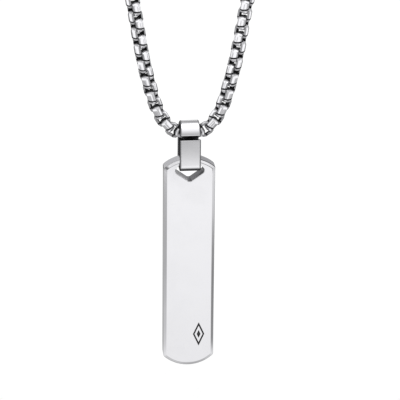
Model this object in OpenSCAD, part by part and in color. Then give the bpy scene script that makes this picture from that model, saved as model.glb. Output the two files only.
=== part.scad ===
// Bar pendant on a rounded box chain, in the form it has when worn.
// Millimetres, +Z up, the front faces -Y. The origin is the middle of the clasp, at the nape,
// and the chain is one closed loop that comes forward and down to the pendant.

/* [Bar] */
// Width of the bar
bar_w = 10; // [8:0.5:12]
// Height of the straight sides, corner to corner
bar_side = 40; // [30:1:50]
// Thickness of the bar
bar_t = 3; // [2:0.1:3.2]
// Radius of the upper domed end, seen from the front
bar_head_r = 7.5; // [7:0.5:12]
// Radius of the lower domed end, seen from the front
bar_foot_r = 7; // [6.5:0.5:12]
// Width of the bevel round the front face
bevel_w = 0.56; // [0.3:0.02:0.8]
// Depth of the bevel round the front face
bevel_d = 0.28; // [0.1:0.02:0.5]
// Metal left between the hole and the top of the bar
bridge_h = 1.45; // [1.2:0.05:2]

/* [Hole for the bail] */
// Width of the hole at its widest
hole_w = 5.7; // [5.3:0.02:6]
// Height of the hole, from its flat top to its point
hole_h = 3.25; // [3:0.05:4.5]
// Length of the hole's flat top
hole_flat = 4.5; // [4.3:0.05:5]
// Drop from the flat top to the hole's two side corners
hole_drop = 0.3; // [0.1:0.05:0.5]
// Radius of the hole's side corners and of its point
hole_round = 0.7; // [0.4:0.05:0.9]

/* [Mark] */
// Height of the lozenge outline cut into the front
mark_h = 5.1; // [4:0.1:6]
// Width of the lozenge outline
mark_w = 2.3; // [1.8:0.1:3]
// Width of the cut line
mark_line = 0.32; // [0.2:0.02:0.4]
// Depth of the cut
mark_depth = 0.12; // [0.05:0.01:0.2]
// Distance of the mark's centre from the middle of the bar
mark_x = 2; // [0:0.1:2.5]
// Height of the mark's centre above the bar's lower corners
mark_z = 4.65; // [4:0.05:8]

/* [Bail] */
// Width of the strap
bail_w = 4.1; // [3.4:0.1:4.2]
// Thickness of the strap
strap_t = 0.65; // [0.5:0.05:0.7]
// Overall height of the bail
bail_h = 9.6; // [9:0.05:12]
// Free space between the strap and each face of the bar
bail_clear = 0.3; // [0.2:0.05:0.4]
// Height of the open seam across the front
seam_gap = 0.75; // [0.3:0.05:0.8]

/* [Chain and clasp] */
// Diameter of the chain
chain_d = 2.5; // [2:0.1:2.6]
// Outer diameter of the clasp
clasp_d = 4; // [3.8:0.1:5]
// Length of the clasp
clasp_len = 14; // [12:0.5:16]

/* [Hidden] */
$fn = 96;
steel = [0.78, 0.79, 0.8];
// Overlap of a cutting shape past the face that it cuts
over = 1;

// The swing axis of the bail, which runs along X through the chain
pendant_y = -130;
pendant_z = -215;

// The bail, measured from its swing axis
strap_edge = 0.18;
bail_in = max(bar_t / 2, chain_d / 2 + 0.25) + bail_clear;
bail_out = bail_in + strap_t;
bail_corner = 0.35;
leg_h = bail_h - bail_out - strap_t - bail_corner;
seam_low = -0.65;

// The bar, measured down from the swing axis: it hangs with its hole on the bail's lower strap,
// and the eased edges over the strap let it rock a few degrees
rest_gap = 0.2;
bridge_ease = 0.25;
hole_top = -(leg_h + bail_corner) + rest_gap;
corner_top = hole_top + bridge_h - rise(bar_head_r);
corner_low = corner_top - bar_side;
head_z = corner_top + rise(bar_head_r) - bar_head_r;
foot_z = corner_low - rise(bar_foot_r) + bar_foot_r;
back_bevel = 0.15;
// Wider than the widest bar, for shapes that its side planes trim
rough_w = 14;

// The clasp's profile: a barrel between two collars, with a waist line at its middle
collar_len = 2;
collar_step = 0.25;
waist_cut = 0.15;
cup_depth = 1.6;
cup_clear = 0.12;
cup_floor_gap = 0.1;

// The chain's centre line over its right half, measured from the swing axis: along the bottom
// of its loop inside the bail, up the front, back over the side of the neck and in to the nape.
// Columns: right, back, up.
half_route = [
  [0, 0, -0.25],
  [1.2, 0, -0.15],
  [2.4, 0, 0.3],
  [3.5, 0, 1],
  [4.5, 0, 2],
  [5.4, 0, 3.3],
  [6.1, 0, 4.7],
  [6.8, 0, 6.5],
  [7.5, 0, 9],
  [8.4, 0, 12.5],
  [9.4, 0, 17.5],
  [10.3, 0, 23],
  [11.3, 0, 28.5],
  [13, 0.5, 37],
  [15, 2, 46],
  [17.3, 4.5, 55],
  [20, 8, 64],
  [23, 12.2, 73],
  [26.4, 17, 82],
  [30, 22.4, 91],
  [33.8, 28.4, 100],
  [37.7, 35, 109],
  [41.5, 42, 118],
  [45.2, 49.5, 127],
  [48.6, 57.3, 136],
  [51.5, 65.5, 145],
  [53.6, 74, 154],
  [54.6, 82.7, 163],
  [54.4, 91.4, 172],
  [52.7, 99.8, 181],
  [49.4, 107.6, 189.5],
  [44.5, 114.4, 197.2],
  [38.2, 120, 203.8],
  [30.8, 124.4, 208.9],
  [22.6, 127.4, 212.3],
  [14, 129.2, 214.3],
];

function unit(v) = v / norm(v);
// How far an end of that radius stands past the bar's corners
function rise(r) = r - sqrt(pow(r, 2) - pow(bar_w / 2, 2));
function mirrored(p) = [-p[0], p[1], p[2]];

// The whole centre line, from the clasp's left cup down to the pendant and up to its right cup
chain_end = clasp_len / 2 - cup_depth + cup_floor_gap;
clasp_in_route = [0, -pendant_y, -pendant_z];
end_points = [
  clasp_in_route + [clasp_len / 2 + 1, 0, 0],
  clasp_in_route + [chain_end, 0, 0],
];
right_half = concat(half_route, end_points);
last = len(right_half) - 1;
route = concat([for (i = [last:-1:1]) mirrored(right_half[i])], right_half);

// The loop lies roughly in one leaning plane, and the tube's rings are turned to its normal
loop_normal = unit([0, pendant_z, -pendant_y]);
tube_sides = 8;

function tangent(p, i) = unit(p[min(i + 1, len(p) - 1)] - p[max(i - 1, 0)]);
function ring(p, i, r) =
  let (
    along = tangent(p, i),
    side = unit(cross(along, loop_normal)),
    up = cross(side, along)
  )
  [for (k = [0:tube_sides - 1])
    let (a = 360 * (k + 0.5) / tube_sides)
    p[i] + r * (cos(a) * side + sin(a) * up)];

// A tube through every point of a route, closed at both ends
module tube(p, r) {
  rings = len(p);
  points = [for (i = [0:rings - 1]) each ring(p, i, r)];
  sides = [for (i = [0:rings - 2], k = [0:tube_sides - 1])
    let (a = i * tube_sides + k, b = i * tube_sides + (k + 1) % tube_sides)
    [a, a + tube_sides, b + tube_sides, b]];
  first_cap = [for (k = [0:tube_sides - 1]) k];
  last_cap = [for (k = [tube_sides - 1:-1:0]) (rings - 1) * tube_sides + k];
  polyhedron(points = points, faces = concat(sides, [first_cap, last_cap]));
}

// Moves a shape from the swing axis's frame to the necklace's
module at_pendant() {
  translate([0, pendant_y, pendant_z]) children();
}

// One domed end as a full disc with both rims bevelled, its axis along Y and its front at -Y
module end_disc(r) {
  rotate([90, 0, 0])
    rotate_extrude()
      polygon([
        [0, -bar_t / 2],
        [r - back_bevel, -bar_t / 2],
        [r, -bar_t / 2 + back_bevel],
        [r, bar_t / 2 - bevel_d],
        [r - bevel_w, bar_t / 2],
        [0, bar_t / 2],
      ]);
}

// The bar's side planes and their bevels, as a column of the bar's cross-section
module side_column() {
  half = bar_w / 2;
  translate([0, 0, corner_low - bar_foot_r])
    linear_extrude(bar_side + bar_foot_r + bar_head_r)
      polygon([
        [-half + bevel_w, -bar_t / 2],
        [half - bevel_w, -bar_t / 2],
        [half, -bar_t / 2 + bevel_d],
        [half, bar_t / 2 - back_bevel],
        [half - back_bevel, bar_t / 2],
        [-half + back_bevel, bar_t / 2],
        [-half, bar_t / 2 - back_bevel],
        [-half, -bar_t / 2 + bevel_d],
      ]);
}

// The hole: a flat top that slopes down to two round corners, and a round point below. It is
// three circles and the polygon round them. The slope touches a corner's circle at the angle turn.
module hole_shape() {
  cx = hole_w / 2 - hole_round;
  cy = hole_top - hole_drop - hole_round;
  reach = [hole_flat / 2 - cx, hole_top - cy];
  turn = atan2(reach[1], reach[0]) - acos(hole_round / norm(reach));
  tip = hole_top - hole_h + hole_round;
  edge = unit([cx, cy - tip]);
  out = hole_round * [edge[1], -edge[0]];
  for (x = [-cx, cx])
    translate([x, cy]) circle(hole_round);
  translate([0, tip]) circle(hole_round);
  polygon([
    [-hole_flat / 2, hole_top],
    [hole_flat / 2, hole_top],
    [cx + hole_round * cos(turn), cy + hole_round * sin(turn)],
    [cx + out[0], cy + out[1]],
    [out[0], tip + out[1]],
    [-out[0], tip + out[1]],
    [-cx - out[0], cy + out[1]],
    [-cx - hole_round * cos(turn), cy + hole_round * sin(turn)],
  ]);
}

// The hole's upper edge, eased on the front and back where the strap runs under it
module bridge_edges() {
  side = bridge_ease * sqrt(2);
  for (y = [-bar_t / 2, bar_t / 2])
    translate([0, y, hole_top])
      rotate([45, 0, 0])
        cube([hole_flat, side, side], center = true);
}

module lozenge(w, h) {
  polygon([[-w / 2, 0], [0, -h / 2], [w / 2, 0], [0, h / 2]]);
}

// A lozenge outline with a small solid lozenge inside it
module mark() {
  inset = 2 * mark_line * sqrt(pow(mark_w, 2) + pow(mark_h, 2));
  k = 1 - inset / (mark_w * mark_h);
  difference() {
    lozenge(mark_w, mark_h);
    lozenge(k * mark_w, k * mark_h);
  }
  lozenge(mark_w / 3, mark_h / 3);
}

module bar() {
  color(steel)
    at_pendant()
      difference() {
        intersection() {
          side_column();
          union() {
            translate([0, 0, head_z]) end_disc(bar_head_r);
            translate([0, 0, foot_z]) end_disc(bar_foot_r);
            translate([-rough_w / 2, -bar_t / 2, foot_z])
              cube([rough_w, bar_t, head_z - foot_z]);
          }
        }
        translate([0, bar_t / 2 + over, 0])
          rotate([90, 0, 0])
            linear_extrude(bar_t + 2 * over) hole_shape();
        bridge_edges();
        translate([mark_x, -bar_t / 2 + mark_depth, corner_low + mark_z])
          rotate([90, 0, 0])
            linear_extrude(mark_depth + over) mark();
      }
}

// The strap's cross-section, thickness along x and width along y, its long edges eased
module strap_section() {
  half = bail_w / 2;
  polygon([
    [0, -half + strap_edge],
    [strap_edge, -half],
    [strap_t - strap_edge, -half],
    [strap_t, -half + strap_edge],
    [strap_t, half - strap_edge],
    [strap_t - strap_edge, half],
    [strap_edge, half],
    [0, half - strap_edge],
  ]);
}

module strap_bend(r, angle) {
  rotate_extrude(angle = angle) translate([r, 0]) strap_section();
}

module strap_run(length) {
  rotate([-90, 0, 0]) linear_extrude(length) strap_section();
}

// The strap folded round: x is the bail's depth and y its height until it is stood up
module bail() {
  foot = bail_in - bail_corner;
  color(steel)
    at_pendant()
      rotate([90, 0, 90])
        difference() {
          union() {
            strap_bend(bail_in, 180);
            translate([bail_in, -leg_h, 0]) strap_run(leg_h);
            translate([-bail_out, -leg_h, 0]) strap_run(leg_h);
            translate([foot, -leg_h, 0]) rotate([0, 0, -90]) strap_bend(bail_corner, 90);
            translate([-foot, -leg_h, 0]) rotate([0, 0, 180]) strap_bend(bail_corner, 90);
            translate([foot, -leg_h - bail_corner - strap_t, 0])
              rotate([0, 0, 90]) strap_run(2 * foot);
          }
          translate([-bail_out - over, seam_low, -bail_w / 2 - over])
            cube([strap_t + 2 * over, seam_gap, bail_w + 2 * over]);
        }
}

module chain() {
  color(steel) at_pendant() tube(route, chain_d / 2);
}

module clasp() {
  half = clasp_len / 2;
  barrel = clasp_d / 2;
  neck = barrel - collar_step;
  cup = chain_d / 2 + cup_clear;
  color(steel)
    rotate([0, 90, 0])
      difference() {
        rotate_extrude()
          polygon([
            [0, -half],
            [neck, -half],
            [barrel, -half + collar_step],
            [barrel, -half + collar_len],
            [neck, -half + collar_len + collar_step],
            [neck, -waist_cut],
            [neck - waist_cut, 0],
            [neck, waist_cut],
            [neck, half - collar_len - collar_step],
            [barrel, half - collar_len],
            [barrel, half - collar_step],
            [neck, half],
            [0, half],
          ]);
        for (side = [-1, 1])
          translate([0, 0, side * half])
            cylinder(h = 2 * cup_depth, r = cup, center = true);
      }
}

bar();
bail();
chain();
clasp();
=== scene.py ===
"""A polished steel bar pendant on a rounded box chain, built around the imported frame.

Metres, +Z up, the front faces -Y. The origin is the middle of the clasp, at the nape. The file is
laid out as an add-on and run as a script.
"""

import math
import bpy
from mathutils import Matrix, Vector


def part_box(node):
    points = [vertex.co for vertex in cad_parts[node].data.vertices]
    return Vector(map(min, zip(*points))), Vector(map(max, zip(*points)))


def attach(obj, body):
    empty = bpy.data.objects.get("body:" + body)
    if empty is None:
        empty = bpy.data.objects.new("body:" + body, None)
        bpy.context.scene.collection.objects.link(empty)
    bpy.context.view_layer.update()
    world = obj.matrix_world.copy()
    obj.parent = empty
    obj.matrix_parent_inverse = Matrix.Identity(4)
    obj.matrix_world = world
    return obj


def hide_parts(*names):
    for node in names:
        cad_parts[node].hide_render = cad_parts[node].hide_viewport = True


bl_info = {
    "name": "Bar Pendant Necklace",
    "version": (1, 0, 0),
    "blender": (4, 5, 0),
    "location": "3D Viewport > Sidebar > Pendant",
    "description": "Bar pendant, bail, rounded box chain and clasp in polished steel, with a studio",
    "category": "Add Mesh",
}

import bpy
import numpy as np
from bpy.props import FloatProperty, FloatVectorProperty, IntProperty, PointerProperty
from bpy.types import Operator, Panel, PropertyGroup
from mathutils import Matrix, Vector
from mathutils.geometry import delaunay_2d_cdt

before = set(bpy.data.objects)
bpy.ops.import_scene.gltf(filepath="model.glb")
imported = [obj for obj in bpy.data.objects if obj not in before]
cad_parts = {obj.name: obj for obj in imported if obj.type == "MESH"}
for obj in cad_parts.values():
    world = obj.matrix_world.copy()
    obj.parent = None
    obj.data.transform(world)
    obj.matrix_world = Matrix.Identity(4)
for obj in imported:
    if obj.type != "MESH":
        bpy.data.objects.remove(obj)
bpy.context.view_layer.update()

MM = 0.001
# The studio's brightest level and the backdrop's as the camera sees it; white paper is 1
BRIGHTEST, SEEN_WHITE = 1.3, 1.08
# The bail's swing axis, which runs along X through the chain
AXIS = np.array([0.0, -0.130, -0.215])
# What the camera aims at
TARGET = AXIS + np.array([2.20, 0.0, -14.05]) * MM
# The bar's hole hangs this far over the bail's foot
REST_GAP = 0.33 * MM
# Rounding of the strap's two lips
LIP_ROUND = 0.18 * MM
# The least radius that the corners of the bar and of the strap keep when they are drawn in
LEAST_BAR, LEAST_STRAP = 0.03 * MM, 0.02 * MM
# Places along a straight edge, beside its ends, where points keep what it borders flat
BESIDE = (0.04, 0.96)

# The chain's centre line over its right half, from the swing axis: right, back, up. It is
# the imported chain's own route.
HALF_ROUTE = np.array([
    (0, 0, -0.25), (1.2, 0, -0.15), (2.4, 0, 0.3), (3.5, 0, 1), (4.5, 0, 2), (5.4, 0, 3.3),
    (6.1, 0, 4.7), (6.8, 0, 6.5), (7.5, 0, 9), (8.4, 0, 12.5), (9.4, 0, 17.5), (10.3, 0, 23),
    (11.3, 0, 28.5), (13, 0.5, 37), (15, 2, 46), (17.3, 4.5, 55), (20, 8, 64), (23, 12.2, 73),
    (26.4, 17, 82), (30, 22.4, 91), (33.8, 28.4, 100), (37.7, 35, 109), (41.5, 42, 118),
    (45.2, 49.5, 127), (48.6, 57.3, 136), (51.5, 65.5, 145), (53.6, 74, 154), (54.6, 82.7, 163),
    (54.4, 91.4, 172), (52.7, 99.8, 181), (49.4, 107.6, 189.5), (44.5, 114.4, 197.2),
    (38.2, 120, 203.8), (30.8, 124.4, 208.9), (22.6, 127.4, 212.3), (14, 129.2, 214.3),
    (8, 130, 215), (5.5, 130, 215),
]) * MM


# ---- Sizes that a user would change ---------------------------------------------------------


def length(name, text, default):
    """A length property, given in millimetres and kept in metres."""
    return FloatProperty(name=name, description=text, default=default * MM, unit="LENGTH",
                         subtype="DISTANCE", precision=5, min=0.0)


def factor(name, text, default):
    """A share from 0 to 1."""
    return FloatProperty(name=name, description=text, default=default, min=0.0, max=1.0,
                         subtype="FACTOR")


def colour(name, text, default):
    return FloatVectorProperty(name=name, description=text, default=default, size=3, min=0.0,
                               max=1.0, subtype="COLOR")


class PendantBarSettings(PropertyGroup):
    """Sizes of the bar."""

    width: length("Width", "Width of the bar", 10)
    side: length("Side", "Height of the straight sides, corner to corner", 40)
    thickness: length("Thickness", "Thickness of the bar", 3)
    head_radius: length("Head radius", "Radius of the upper domed end, seen from the front", 7.5)
    foot_radius: length("Foot radius", "Radius of the lower domed end, seen from the front", 7)
    bevel_width: length("Bevel width", "Width of the bevel round the front face", 0.56)
    bevel_depth: length("Bevel depth", "Depth of the bevel round the front face", 0.28)
    back_bevel: length("Back bevel", "Bevel round the back face", 0.15)
    corner_top: length("Top corners", "Rounding of the two upper corners", 0.16)
    corner_low: length("Lower corners", "Rounding of the two lower corners", 0.62)
    edge: length("Edge", "Radius that polishing leaves on each edge", 0.06)
    bridge: length("Bridge", "Metal between the hole and the top of the bar", 1.45)
    hole_width: length("Hole width", "Width of the hole at its widest", 5.7)
    hole_height: length("Hole height", "Height of the hole, from its flat top to its point", 3.25)
    hole_flat: length("Hole top", "Length of the hole's flat top", 4.5)
    hole_drop: length("Hole drop", "Drop from the flat top to the hole's side corners", 0.3)
    hole_round: length("Hole corners", "Radius of the hole's side corners and point", 0.7)
    bridge_ease: length("Bridge ease", "Easing of the hole's upper edge under the strap", 0.25)
    # The hole finish is painted shade on the hole's wall
    hole_shade: factor("Hole finish", "How far the hole's wall is from the faces' polish", 0.6)
    mark_width: length("Mark width", "Width of the lozenge outline", 2.3)
    mark_height: length("Mark height", "Height of the lozenge outline", 5.1)
    mark_line: length("Mark line", "Width of the cut line", 0.32)
    mark_depth: length("Mark depth", "Depth of the cut", 0.12)
    mark_across: length("Mark across", "Distance of the mark from the middle of the bar", 2)
    mark_up: length("Mark up", "Height of the mark above the lower corners", 4.65)


class PendantBailSettings(PropertyGroup):
    """Sizes of the bail."""

    width: length("Width", "Width of the strap", 4.1)
    thickness: length("Thickness", "Thickness of the strap", 0.65)
    inner_radius: length("Inner radius", "Radius inside the loop that rides on the chain", 1.8)
    leg: length("Legs", "Height of the straight legs below the swing axis", 6.28)
    corner: length("Corners", "Inner radius of the two lower corners", 0.35)
    edge: length("Edge", "Rounding of the strap's long edges", 0.22)
    seam_low: length("Seam", "Depth of the open seam's lower lip below the swing axis", 0.74)
    seam_gap: length("Seam gap", "Height of the open seam across the front", 0.84)
    taper: factor("Taper", "How much narrower the strap is over the chain", 0.1)


class PendantChainSettings(PropertyGroup):
    """Sizes of the chain."""

    pairs: IntProperty(name="Link pairs", description="Pairs of links in the whole chain",
                       default=181, min=10, max=400)
    link: length("Link length", "Outer length of a link", 2.9)
    width: length("Link width", "Outer width of a link", 2.75)
    strip: length("Strip width", "Width of the strip that a link is bent from", 1.58)
    strip_thickness: length("Strip thickness", "Thickness of the strip at the link's faces", 0.56)
    end_thickness: length("End thickness", "Thickness of the strip at the link's ends", 0.63)
    corner: length("Link corners", "Outer radius of a link's corners", 0.8)
    crown: length("Crown", "Height of the dome on a link's outer faces", 0.18)
    edge: length("Edge", "Width of the bevel beside a link's dome", 0.1)
    # The slant is that of the painted shade round a link
    slant: factor("Slant", "How far the wear round a link slants across its strip", 0.1)
    # The side finish is painted shade on a strip's sides
    side_shade: factor("Side finish", "How far a strip's sides are from its face's polish", 0.3)


class PendantClaspSettings(PropertyGroup):
    """Sizes of the clasp."""

    diameter: length("Diameter", "Outer diameter of the clasp", 4)
    length: length("Length", "Length of the clasp", 14)
    collar: length("Collar", "Length of each collar", 2)
    step: length("Step", "Height of the collars over the barrel", 0.25)
    waist: length("Waist", "Depth of the line round the middle", 0.15)
    cup: length("Cup", "Radius of the cups that hold the chain's ends", 1.5)
    cup_depth: length("Cup depth", "Depth of the cups", 1.6)


class PendantFinishSettings(PropertyGroup):
    """Colours and polish."""

    steel: colour("Steel", "Colour of the polished steel", (0.81, 0.808, 0.83))
    # The recess colour is painted shade: the dark that the masks put on the links' bends and
    # insides, the links inside the bail, the bar's bevel edges and hole wall, the strap's edges,
    # lips and foot, and the clasp's cups
    painted_shade_colour: colour("Recess", "Colour of steel in recesses that polishing doesn't reach",
                    (0.035, 0.035, 0.038))
    enamel: colour("Mark fill", "Colour of the mark's dark fill", (0.006, 0.006, 0.007))
    polish: factor("Polish", "Roughness of the polished faces", 0.07)


class PendantStageSettings(PropertyGroup):
    """The studio."""

    azimuth: FloatProperty(name="Azimuth", description="Where the camera stands round the pendant",
                           default=math.radians(-6.43), subtype="ANGLE")
    elevation: FloatProperty(name="Elevation", description="Height of the camera over the pendant",
                             default=math.radians(21.23), subtype="ANGLE")
    roll: FloatProperty(name="Roll", description="Turn of the camera about its own axis",
                        default=math.radians(0.54), subtype="ANGLE")
    distance: length("Distance", "From the camera to its target", 450)
    lens: FloatProperty(name="Lens", description="Focal length on a 36 mm sensor", default=207.0,
                        min=20.0, unit="CAMERA")
    floor_drop: length("Floor drop", "Gap between the bar's lowest point and the floor", 0.15)


# ---- Shapes as arrays -----------------------------------------------------------------------


def unit(v):
    """v / |v| over the last axis."""
    return v / np.linalg.norm(v, axis=-1, keepdims=True)


def strips(rows, columns, start=0, close_rows=False, close_columns=True):
    """The quads of a grid of rows x columns points, numbered row by row from start."""
    r = np.arange(rows if close_rows else rows - 1)[:, None]
    c = np.arange(columns if close_columns else columns - 1)[None, :]
    r2, c2 = (r + 1) % rows, (c + 1) % columns
    corners = (r * columns + c, r2 * columns + c, r2 * columns + c2, r * columns + c2)
    return np.stack([q + 0 * c + 0 * r for q in corners], -1).reshape(-1, 4) + start


def turn_arc(centre, radius, first, last, steps):
    """centre + radius (cos a, sin a), for steps + 1 angles from first to last."""
    a = np.linspace(first, last, steps + 1)[:, None]
    return np.asarray(centre) + radius * np.hstack([np.cos(a), np.sin(a)])


def eased(corners, radii, steps=4, hold=0.03 * MM):
    """A line through corners, each inner one rounded by its radius.

    At a corner with unit directions p in and q out, the turn is t = angle(p, q) and the arc
    starts and ends r tan(t/2) away from the corner. On it, a point is
    corner + r tan(t/2) (-p) + r (sin(a) p + (1 - cos(a)) n), where n is p turned by 90 degrees
    towards q. A point hold away on each side of the arc keeps the flat beside it flat.
    """
    corners = np.asarray(corners, float)
    rows = [corners[:1]]
    for back, here, on, r in zip(corners, corners[1:], corners[2:], radii):
        p, q = unit(here - back), unit(on - here)
        cross = p[0] * q[1] - p[1] * q[0]
        t = math.atan2(abs(cross), p @ q)
        n = math.copysign(1, cross) * np.array([-p[1], p[0]])
        reach = r * math.tan(t / 2)
        a = np.linspace(0, t, steps + 1)[:, None]
        arc = here - reach * p + r * (np.sin(a) * p + (1 - np.cos(a)) * n)
        rows += [arc[:1] - hold * p, arc, arc[-1:] + hold * q]
    return np.vstack(rows + [corners[-1:]])


def inside(points, loops):
    """Which points lie inside an odd number of the closed loops, by counting crossings."""
    x, y = points[:, :1], points[:, 1:]
    count = np.zeros(len(points), int)
    for loop in loops:
        a, b = loop, np.roll(loop, -1, 0)
        spans = (a[:, 1] > y) != (b[:, 1] > y)
        rise = np.where(a[:, 1] == b[:, 1], 1.0, b[:, 1] - a[:, 1])
        at = a[:, 0] + (y - a[:, 1]) * (b[:, 0] - a[:, 0]) / rise
        count += (spans & (x < at)).sum(1)
    return count % 2 == 1


def fill(loops):
    """Triangles of the flat region between nested closed loops, on their points in order."""
    points = np.vstack(loops)
    starts = np.cumsum([0] + [len(loop) for loop in loops])
    edges = np.vstack([
        np.stack([np.arange(n), np.roll(np.arange(n), -1)], 1) + s
        for s, n in zip(starts, map(len, loops))
    ])
    # In millimetres; what comes back is points, edges, faces and each point's own number
    scaled, tolerance = [Vector(p) for p in (points * (1 / MM)).tolist()], 1e-7
    made, _, triangles, origins, _, _ = delaunay_2d_cdt(
        scaled, edges.tolist(), [], 0, tolerance, True)
    if len(made) != len(points):
        raise ValueError("the loops of a flat face touch each other")
    faces = np.array([origin[0] for origin in origins])[np.array(triangles)]
    faces = faces[inside(points[faces].mean(1), loops)]
    a, b, c = (points[faces[:, k]] for k in range(3))
    ab, ac = b - a, c - a
    flip = ab[:, 0] * ac[:, 1] - ab[:, 1] * ac[:, 0] < 0
    faces[flip] = faces[flip][:, ::-1]
    return faces


def facing(points2, y):
    """Points (x, z) stood up at depth y."""
    return np.stack([points2[:, 0], np.broadcast_to(y, len(points2)), points2[:, 1]], 1)


def new_piece(name, points, faces, materials, indices=None, sharp=None, normals=None):
    """A mesh object from points and a list of equal-sided face arrays, with smooth shading.

    indices gives each face's material, sharp the angle over which an edge stays sharp, and
    normals one vector for each face corner.
    """
    mesh = bpy.data.meshes.new(name)
    sizes = np.concatenate([np.full(len(f), f.shape[1]) for f in faces])
    corners = np.concatenate([f.ravel() for f in faces])
    mesh.vertices.add(len(points))
    mesh.vertices.foreach_set("co", np.ascontiguousarray(points, np.float32).ravel())
    mesh.loops.add(len(corners))
    mesh.loops.foreach_set("vertex_index", corners.astype(np.int32))
    mesh.polygons.add(len(sizes))
    starts = np.concatenate([[0], np.cumsum(sizes)[:-1]])
    mesh.polygons.foreach_set("loop_start", starts.astype(np.int32))
    mesh.update(calc_edges=True)
    mesh.polygons.foreach_set("use_smooth", np.ones(len(sizes), bool))
    if indices is not None:
        mesh.polygons.foreach_set("material_index", indices.astype(np.int32))
    for material in materials:
        mesh.materials.append(material)
    if mesh.validate():
        raise ValueError(f"{name} had faces that aren't valid")
    if sharp is not None:
        mesh.set_sharp_from_angle(angle=sharp)
    if normals is not None:
        mesh.normals_split_custom_set(normals.reshape(-1, 3).tolist())
    piece = bpy.data.objects.new(name, mesh)
    bpy.context.scene.collection.objects.link(piece)
    return piece


def mask_values(piece, name, values, domain):
    """A named number for each POINT, CORNER or FACE of a piece, which its material reads."""
    layer = piece.data.attributes.new(name, "FLOAT", domain)
    layer.data.foreach_set("value", np.asarray(values, np.float32).ravel())


# ---- Bar ------------------------------------------------------------------------------------


class BarShape:
    """The bar's heights from the swing axis, and its outlines seen from the front."""

    def __init__(self, s, bail):
        self.s = s
        self.hole_top = -(bail.leg + bail.corner) + REST_GAP
        self.centre_top = self.hole_top + s.bridge - s.head_radius
        self.top = self.centre_top + math.sqrt(s.head_radius ** 2 - (s.width / 2) ** 2)
        self.low = self.top - s.side
        self.centre_low = self.low + math.sqrt(s.foot_radius ** 2 - (s.width / 2) ** 2)

    def outline(self, inset, sides=24, arc=48, corner=6):
        """The outline drawn in by inset, anticlockwise from the right side's foot.

        Each end is an arc of radius R - inset about the end disc's centre, each side the line
        x = +-(w/2 - inset), and each corner an arc of radius r whose centre lies r inside both.
        Along a side the points stand at (1 - cos(a)) / 2 for even steps of a, closest at its ends.
        """
        s, pi = self.s, math.pi
        side = s.width / 2 - inset

        def end(disc, rounding, centre, way):
            """A corner's radius, its centre's x and z, and the angle where it meets the end."""
            r = max(rounding - inset, LEAST_BAR)
            x, d = side - r, math.sqrt((disc - inset - r) ** 2 - (side - r) ** 2)
            return r, x, centre + way * d, math.atan2(d, x)

        r_top, x_top, z_top, top = end(s.head_radius, s.corner_top, self.centre_top, 1)
        r_low, x_low, z_low, low = end(s.foot_radius, s.corner_low, self.centre_low, -1)
        t = (1 - np.cos(np.linspace(0, pi, sides + 2)[1:-1])) / 2
        right = np.stack([np.full(sides, side), z_low + (z_top - z_low) * t], 1)
        head, foot = s.head_radius - inset, s.foot_radius - inset
        return np.vstack([
            right,
            turn_arc((x_top, z_top), r_top, 0, top, corner),
            turn_arc((0, self.centre_top), head, top, pi - top, arc)[1:-1],
            turn_arc((-x_top, z_top), r_top, pi - top, pi, corner),
            right[::-1] * (-1, 1),
            turn_arc((-x_low, z_low), r_low, pi, pi + low, corner),
            turn_arc((0, self.centre_low), foot, pi + low, 2 * pi - low, arc)[1:-1],
            turn_arc((x_low, z_low), r_low, 2 * pi - low, 2 * pi, corner),
        ])

    def hole(self, outset, corner=10, flat=16):
        """The hole's outline pushed out by outset: three arcs about fixed centres, joined.

        The slope from an end of the flat top touches the corner's arc at the angle
        turn = atan2(ez, ex) - acos(r / |e|), with e the way from the arc's centre to that end.
        """
        s = self.s
        quarter = math.pi / 2
        r = s.hole_round + outset
        cx = s.hole_width / 2 - s.hole_round
        cz = self.hole_top - s.hole_drop - s.hole_round
        tip = self.hole_top - s.hole_height + s.hole_round
        lean = math.atan2(cz - tip, cx)
        ex, ez = s.hole_flat / 2 - cx, self.hole_top - cz
        turn = math.atan2(ez, ex) - math.acos(s.hole_round / math.hypot(ex, ez))

        def between(p, q):
            return p + (q - p) * np.linspace(0, 1, flat + 2)[1:-1, None]

        low = turn_arc((0, tip), r, -quarter - lean, -quarter + lean, corner)
        right = turn_arc((cx, cz), r, -quarter + lean, turn, corner)
        end = np.array([s.hole_flat / 2 + outset * math.tan((quarter - turn) / 2),
                        self.hole_top + outset])
        right = np.vstack([right, between(right[-1], end), end])
        left = right[::-1] * (-1, 1)
        return np.vstack([right, between(right[-1], left[0]), left, between(left[-1], low[0]),
                          low, between(low[-1], right[0])])

    def lozenge(self, width, height):
        """A lozenge about the mark's place, its sides held straight beside each tip."""
        t = np.array([0, BESIDE[0], 0.5, BESIDE[1]])[:, None]
        tips = np.array([(width / 2, 0), (0, height / 2), (-width / 2, 0), (0, -height / 2)])
        sides = np.vstack([a + (b - a) * t for a, b in zip(tips, np.roll(tips, -1, 0))])
        return sides + (self.s.mark_across, self.low + self.s.mark_up)

    def mark(self, grow=0.0):
        """The three loops of the cut: outline, its inner side and the small solid lozenge."""
        w, h = self.s.mark_width, self.s.mark_height
        # A line moved by d changes a lozenge's size by the share 2 d |(w, h)| / (w h)
        share = 2 * math.hypot(w, h) / (w * h)
        sizes = (1 + share * grow, 1 - share * (self.s.mark_line + grow), 1 / 3 + share * grow)
        return [self.lozenge(k * w, k * h) for k in sizes]


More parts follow.
